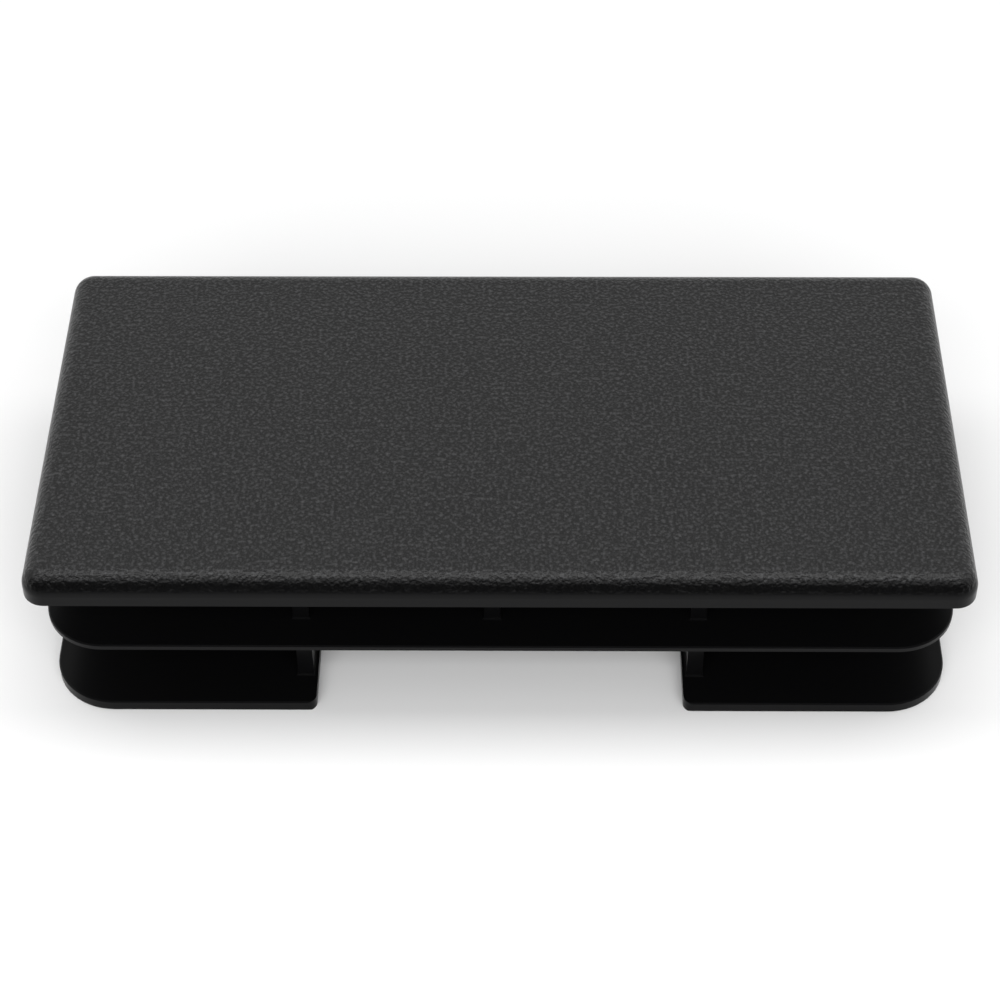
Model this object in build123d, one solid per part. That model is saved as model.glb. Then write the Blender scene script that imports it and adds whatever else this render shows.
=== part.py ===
from build123d import *
import os

# Ribbed end cap for a rectangular steel tube, moulded in one piece.
# Z = 0 is the plane that the cap's two feet stand on; the head is on top, its long side along X.
# All sizes are in millimetres, all angles in degrees.

os.makedirs("parts", exist_ok=True)

# ---- the tube that the cap closes -------------------------------------------------------
tube_length = 100.0            # outer size of the tube's section along X
tube_width = 50.0              # outer size of the tube's section along Y
tube_wall = 1.5                # the thinnest wall that the fins still grip

# ---- head: covers the tube's end, flush with the tube's outer faces ---------------------
head_thickness = 3.5
head_corner_radius = 2.4       # seen from above
head_edge_radius = 2.2         # round between the top face and the side band

# ---- fins: thin flanges that bend back inside the tube ----------------------------------
fin_squeeze = 0.5              # how far each fin reaches into the thinnest tube's wall
insertion_depth = 18.1         # from the head's underside to the feet's underside
upper_fin_drop = 7.4           # clear height between the head and the upper fin
upper_fin_thickness = 0.8
upper_fin_corner_radius = 6.5
lower_fin_thickness = 1.4
lower_fin_corner_radius = 6.8
fin_edge_chamfer = 0.15        # breaks both rims of the fins' outer edges

# ---- core: the hollow box that carries the fins -----------------------------------------
core_setback = 8.5             # from the fins' edges to the core's outer faces
core_wall = 2.0
core_corner_radius = 3.0
cell_corner_radius = 1.0
cell_draft = 1.0               # lets the moulding leave the tool, so the walls thicken upwards

# ---- notch: clears both long sides between the two feet, below the upper fin ------------
notch_width = 40.1
notch_corner_radius = 1.1      # round on the lower fin's free corners

# ---- ribs on the long sides, and the webs that carry them on through the core -----------
rib_width = 1.75
rib_setback = 4.0              # from the fins' edges to the ribs' front faces
foot_lip = 0.45                # how far each foot runs past its web into the notch
middle_rib_shift = -0.8        # the middle rib stands a little to one side of the centre

# ---- round at the root of the fins and the head, along the core and the ribs ------------
root_radius = 0.3

# ---- worked out from the sizes above ----------------------------------------------------
head_underside = insertion_depth
head_top = head_underside + head_thickness
upper_fin_top = head_underside - upper_fin_drop
upper_fin_bottom = upper_fin_top - upper_fin_thickness

fin_inset = tube_wall - fin_squeeze
fin_length = tube_length - 2 * fin_inset
fin_width = tube_width - 2 * fin_inset
core_length = fin_length - 2 * core_setback
core_width = fin_width - 2 * core_setback
hollow_length = core_length - 2 * core_wall
hollow_width = core_width - 2 * core_wall
rib_span = fin_width - 2 * rib_setback

foot_web_x = notch_width / 2 + foot_lip + rib_width / 2
web_stations = (-foot_web_x, middle_rib_shift, foot_web_x)
tolerance = 0.001


def raised(outline, bottom, top, taper=0.0):
    """The outline made solid between two heights."""
    return Pos(0, 0, bottom) * extrude(outline, top - bottom, taper=taper)


def make_head():
    """The cover plate, with its top edge rounded all round."""
    head = raised(RectangleRounded(tube_length, tube_width, head_corner_radius), head_underside, head_top)
    top_face = head.faces().sort_by(Axis.Z)[-1]
    return fillet(top_face.edges(), head_edge_radius)


def make_fin(thickness, corner_radius, bottom):
    """A full fin, as it is before the notch is cut, with both rims of its outer edge broken."""
    fin = raised(RectangleRounded(fin_length, fin_width, corner_radius), bottom, bottom + thickness)
    return chamfer(fin.faces().filter_by(Axis.Z).edges(), fin_edge_chamfer)


def make_core():
    """The box between the fins, still filled."""
    return raised(RectangleRounded(core_length, core_width, core_corner_radius), 0, head_underside)


def make_rib(station, bottom):
    """An upright rib at the given station, standing out of both long sides of the core."""
    return Pos(station, 0, 0) * raised(Rectangle(rib_width, rib_span), bottom, head_underside)


def is_root(edge):
    """True for a level inner corner, where a fin or the head meets the core or a rib."""
    middle = edge.center()
    is_level = edge.bounding_box().size.Z < tolerance
    heights = (lower_fin_thickness, upper_fin_bottom, upper_fin_top, head_underside)
    at_flange = any(abs(middle.Z - height) < tolerance for height in heights)
    within_core = abs(middle.X) < core_length / 2 + tolerance
    within_ribs = abs(middle.Y) < rib_span / 2 + tolerance
    return is_level and at_flange and within_core and within_ribs


def make_cells():
    """The hollows between the end walls and the webs, open at the bottom."""
    walls = [-hollow_length / 2]
    for station in web_stations:
        walls += [station - rib_width / 2, station + rib_width / 2]
    walls += [hollow_length / 2]
    cells = []
    for left, right in zip(walls[::2], walls[1::2]):
        outline = Pos((left + right) / 2, 0) * RectangleRounded(right - left, hollow_width, cell_corner_radius)
        cells.append(raised(outline, 0, head_underside, cell_draft))
    return cells


def make_notch():
    """What is cut away between the feet, flared where it leaves the fin's edges."""
    ring = RectangleRounded(fin_length, fin_width, lower_fin_corner_radius)
    feet = ring - Rectangle(notch_width, fin_width)
    free_corners = feet.vertices().filter_by(lambda corner: abs(abs(corner.X) - notch_width / 2) < tolerance)
    feet = fillet(free_corners, notch_corner_radius)
    flare_width = notch_width + 2 * notch_corner_radius
    return raised(Rectangle(flare_width, fin_width) - feet, 0, upper_fin_bottom)


def make_end_cap():
    """The whole moulding."""
    cap = make_head() + make_core()
    cap += make_fin(upper_fin_thickness, upper_fin_corner_radius, upper_fin_bottom)
    cap += make_fin(lower_fin_thickness, lower_fin_corner_radius, 0)
    cap += make_rib(middle_rib_shift, upper_fin_bottom)
    cap += make_rib(-foot_web_x, 0)
    cap += make_rib(foot_web_x, 0)
    cap = fillet(cap.edges().filter_by(is_root), root_radius)
    cap -= make_notch()
    cap -= make_cells()
    return cap


end_cap = make_end_cap()
export_step(end_cap, "parts/end_cap.step")
print("end_cap: solids", len(end_cap.solids()), "volume", round(end_cap.volume, 1))
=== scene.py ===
"""Looks, light and camera for the ribbed end cap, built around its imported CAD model."""
import math

import bpy
from mathutils import Matrix, Vector


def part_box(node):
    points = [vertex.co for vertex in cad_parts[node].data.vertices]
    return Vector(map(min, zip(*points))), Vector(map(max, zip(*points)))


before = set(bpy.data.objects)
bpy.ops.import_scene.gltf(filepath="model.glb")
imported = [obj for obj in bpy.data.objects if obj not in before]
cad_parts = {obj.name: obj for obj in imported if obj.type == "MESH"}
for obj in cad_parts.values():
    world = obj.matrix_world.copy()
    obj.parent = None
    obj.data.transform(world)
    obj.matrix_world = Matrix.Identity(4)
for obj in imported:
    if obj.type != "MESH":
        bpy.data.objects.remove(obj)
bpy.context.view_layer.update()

MM = 0.001                          # lengths without it are in metres
WHITE = (1.0, 1.0, 1.0, 1.0)

# ---- the moulded plastic -----------------------------------------------------------------
SMOOTH_COLOR = (0.0030, 0.0030, 0.0032, 1.0)
SMOOTH_SPECULAR = 0.10
SMOOTH_ROUGHNESS = 0.28
GRAIN_DARK_COLOR = (0.0010, 0.0010, 0.0011, 1.0)
# the grain's crests are coloured lighter: painted glints of the light on the grain
CREST_PAINTED_GLINT_COLOR = (0.0380, 0.0384, 0.0396, 1.0)
GRAIN_SPECULAR = 0.27
GRAIN_ROUGHNESS = 0.30
GRAIN_SIZE = 0.40 * MM
GRAIN_DEPTH = 0.14 * MM
GRAIN_OCTAVES = 1.5                 # how much finer grain lies in the coarse grain
GRAIN_FINE_SHARE = 0.5
PAINTED_GLINT_START = 0.48                  # the grain's height, of 0 to 1, from which a crest takes a painted glint
PAINTED_GLINT_END = 0.78                    # and at which the painted glint is brightest

# These lie below the head's top.
GRAIN_LOWER_LIMIT = 1.30 * MM       # middle of the change from grain to smooth plastic
GRAIN_LIMIT_BLUR = 0.35 * MM        # half the height of that change
PAINTED_GLINT_FULL_LIMIT = 0.10 * MM        # down to here the painted glints on the crests are brightest
PAINTED_GLINT_LOWER_LIMIT = 0.70 * MM       # and from here down, in the head's round, the crests get no painted glint

# ---- floor -------------------------------------------------------------------------------
FLOOR_HALF_SIZE = 3.0
FLOOR_GAP = 0.02 * MM
FLOOR_COLOR = (0.88, 0.88, 0.88, 1.0)

# ---- light -------------------------------------------------------------------------------
WORLD_FILL = 0.50                   # the surroundings' strength as light on matt surfaces
SOFTBOXES = {
    "softbox_top": {
        "direction": (0.0, 0.10, 1.0), "distance": 0.60, "width": 0.90, "height": 0.24,
        "radiance": 2.8, "in_reflections": True,
    },
    "softbox_front": {
        "direction": (0.0, -1.0, 0.70), "distance": 0.80, "width": 1.00, "height": 0.60,
        "radiance": 3.2, "in_reflections": False,
    },
}
FLAG_DISTANCE = 75 * MM             # from the head's front side to the dark card
FLAG_HALF_WIDTH = 0.30
FLAG_HEIGHT = 0.12
FLAG_COLOR = (0.12, 0.12, 0.12, 1.0)

# ---- camera ------------------------------------------------------------------------------
CAMERA_AIM = Vector((-0.06, -6.5, -6.4)) * MM    # from the middle of the head's top
CAMERA_DISTANCE = 287.3 * MM
CAMERA_ELEVATION = math.radians(45.62)
CAMERA_YAW = math.radians(-0.83)
CAMERA_ROLL = math.radians(-0.45)
CAMERA_LENS = 93.98
CAMERA_SENSOR = 36.0


class Shader:
    """A small helper that adds nodes to one node tree and links them."""

    def __init__(self, tree):
        self.tree = tree
        tree.nodes.clear()

    def node(self, kind, settings=None, **inputs):
        made = self.tree.nodes.new(kind)
        for name, value in (settings or {}).items():
            setattr(made, name, value)
        for name, value in inputs.items():
            self.feed(made, name.replace("_", " "), value)
        return made

    def feed(self, node, socket, value):
        target = node.inputs[socket]
        if isinstance(value, bpy.types.NodeSocket):
            self.tree.links.new(value, target)
        else:
            target.default_value = value

    def calculate(self, operation, first, second):
        made = self.tree.nodes.new("ShaderNodeMath")
        made.operation = operation
        self.feed(made, 0, first)
        self.feed(made, 1, second)
        return made.outputs["Value"]

    def ramp(self, value, start, end, low=0.0, high=1.0, smooth=False):
        """A number that runs from low to high while the value runs from start to end."""
        made = self.tree.nodes.new("ShaderNodeMapRange")
        made.interpolation_type = "SMOOTHSTEP" if smooth else "LINEAR"
        limits = {"From Min": start, "From Max": end, "To Min": low, "To Max": high}
        for name, number in limits.items():
            self.feed(made, name, number)
        self.feed(made, "Value", value)
        return made.outputs["Result"]

    def mix_color(self, factor, first, second):
        """A colour that runs from the first to the second with the factor."""
        made = self.node("ShaderNodeMix", {"data_type": "RGBA"}, Factor=factor)
        color_inputs = [socket for socket in made.inputs if socket.type == "RGBA"]
        for socket, color in zip(color_inputs, (first, second)):
            socket.default_value = color
        return next(socket for socket in made.outputs if socket.type == "RGBA")


def new_material(name):
    material = bpy.data.materials.new(name)
    material.use_nodes = True
    return material, Shader(material.node_tree)


def make_plastic(head_top):
    """Black plastic: fine grain on the head's top and in its round, smooth and darker elsewhere; painted
    glints lighten the grain's crests on the top.
    """
    material, shader = new_material("black_plastic_grain_and_painted_glints")
    place = shader.node("ShaderNodeTexCoord").outputs["Object"]
    height = shader.node("ShaderNodeSeparateXYZ", Vector=place).outputs["Z"]
    limit = head_top - GRAIN_LOWER_LIMIT
    is_grained = shader.ramp(height, limit - GRAIN_LIMIT_BLUR, limit + GRAIN_LIMIT_BLUR, smooth=True)

    noise = shader.node("ShaderNodeTexNoise", Vector=place, Scale=1 / GRAIN_SIZE,
                        Detail=GRAIN_OCTAVES, Roughness=GRAIN_FINE_SHARE)
    grain = noise.outputs["Fac"]
    # painted glints: the grain's crests are coloured lighter on the head's top only, fading out down its
    # round
    painted_glint_end = head_top - PAINTED_GLINT_LOWER_LIMIT
    painted_glint_on_top = shader.ramp(height, painted_glint_end, head_top - PAINTED_GLINT_FULL_LIMIT, smooth=True)
    painted_glint = shader.calculate("MULTIPLY", shader.ramp(grain, PAINTED_GLINT_START, PAINTED_GLINT_END), painted_glint_on_top)
    grain_with_painted_glints = shader.mix_color(painted_glint, GRAIN_DARK_COLOR, CREST_PAINTED_GLINT_COLOR)
    bump = shader.node("ShaderNodeBump", Distance=GRAIN_DEPTH, Height=grain)

    smooth = shader.node("ShaderNodeBsdfPrincipled", Base_Color=SMOOTH_COLOR, Roughness=SMOOTH_ROUGHNESS)
    shader.feed(smooth, "Specular IOR Level", SMOOTH_SPECULAR)
    grained = shader.node("ShaderNodeBsdfPrincipled", Base_Color=grain_with_painted_glints, Roughness=GRAIN_ROUGHNESS)
    shader.feed(grained, "Specular IOR Level", GRAIN_SPECULAR)
    shader.feed(grained, "Normal", bump.outputs["Normal"])
    plastic = shader.node("ShaderNodeMixShader")
    for socket, value in enumerate((is_grained, smooth.outputs["BSDF"], grained.outputs["BSDF"])):
        shader.feed(plastic, socket, value)
    shader.node("ShaderNodeOutputMaterial", Surface=plastic.outputs["Shader"])
    return material


def make_matt_material(name, color):
    material, shader = new_material(name)
    paint = shader.node("ShaderNodeBsdfDiffuse", Color=color)
    shader.node("ShaderNodeOutputMaterial", Surface=paint.outputs["BSDF"])
    return material


def make_panel(name, corners, color):
    """A flat four-cornered stage piece."""
    mesh = bpy.data.meshes.new(name)
    mesh.from_pydata(corners, [], [(0, 1, 2, 3)])
    mesh.materials.append(make_matt_material(name + "_paint", color))
    panel = bpy.data.objects.new(name, mesh)
    bpy.context.scene.collection.objects.link(panel)
    return panel


def make_floor(ground):
    reach = FLOOR_HALF_SIZE
    level = ground - FLOOR_GAP
    corners = [
        (-reach, -reach, level), (reach, -reach, level),
        (reach, reach, level), (-reach, reach, level),
    ]
    make_panel("floor", corners, FLOOR_COLOR)


def make_flag(front, ground):
    """A dark card before the cap, seen only in reflections: the dark line in the round of the near edge."""
    side = FLAG_HALF_WIDTH
    place = front - FLAG_DISTANCE
    top = ground + FLAG_HEIGHT
    corners = [(-side, place, ground), (side, place, ground), (side, place, top), (-side, place, top)]
    flag = make_panel("flag", corners, FLAG_COLOR)
    flag.visible_camera = False
    flag.visible_diffuse = False
    flag.visible_shadow = False


def make_world():
    """White to look at and in reflections, and a weaker fill as light on matt surfaces."""
    world = bpy.data.worlds.new("studio")
    world.use_nodes = True
    shader = Shader(world.node_tree)
    rays = shader.node("ShaderNodeLightPath").outputs
    seen = shader.calculate("MAXIMUM", rays["Is Camera Ray"], rays["Is Glossy Ray"])
    seen = shader.calculate("MAXIMUM", seen, rays["Is Transmission Ray"])
    strength = shader.ramp(seen, 0.0, 1.0, WORLD_FILL, 1.0)
    sky = shader.node("ShaderNodeBackground", Color=WHITE, Strength=strength)
    shader.node("ShaderNodeOutputWorld", Surface=sky.outputs["Background"])
    bpy.context.scene.world = world


def make_softbox(name, target, direction, distance, width, height, radiance, in_reflections):
    """A large even lamp that faces the target and gives the stated radiance."""
    lamp = bpy.data.lights.new(name, "AREA")
    lamp.shape = "RECTANGLE"
    lamp.size = width
    lamp.size_y = height
    lamp.energy = radiance * math.pi * width * height
    softbox = bpy.data.objects.new(name, lamp)
    away = Vector(direction).normalized()
    softbox.rotation_euler = away.to_track_quat("Z", "Y").to_euler()
    softbox.location = target + away * distance
    softbox.visible_camera = False
    softbox.visible_glossy = in_reflections
    bpy.context.scene.collection.objects.link(softbox)


def make_camera(head_middle):
    forward = Vector((
        math.sin(CAMERA_YAW) * math.cos(CAMERA_ELEVATION),
        math.cos(CAMERA_YAW) * math.cos(CAMERA_ELEVATION),
        -math.sin(CAMERA_ELEVATION),
    ))
    level_right = forward.cross(Vector((0, 0, 1))).normalized()
    level_up = level_right.cross(forward)
    right = level_right * math.cos(CAMERA_ROLL) + level_up * math.sin(CAMERA_ROLL)
    up = level_up * math.cos(CAMERA_ROLL) - level_right * math.sin(CAMERA_ROLL)
    data = bpy.data.cameras.new("camera")
    data.sensor_width = CAMERA_SENSOR
    data.lens = CAMERA_LENS
    camera = bpy.data.objects.new("camera", data)
    turn = Matrix((right, up, -forward)).transposed()
    place = head_middle + CAMERA_AIM - forward * CAMERA_DISTANCE
    camera.matrix_world = Matrix.Translation(place) @ turn.to_4x4()
    bpy.context.scene.collection.objects.link(camera)
    bpy.context.scene.camera = camera


def dress_end_cap(head_top):
    end_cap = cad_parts["end_cap"]
    end_cap.data.materials.clear()
    end_cap.data.materials.append(make_plastic(head_top))


lowest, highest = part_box("end_cap")
middle = (lowest + highest) / 2
foot_middle = Vector((middle.x, middle.y, lowest.z))
head_middle = Vector((middle.x, middle.y, highest.z))

dress_end_cap(highest.z)
make_floor(lowest.z)
make_flag(lowest.y, lowest.z)
make_world()
for softbox_name, settings in SOFTBOXES.items():
    make_softbox(softbox_name, foot_middle, **settings)
make_camera(head_middle)
bpy.context.scene.view_settings.view_transform = "Standard"
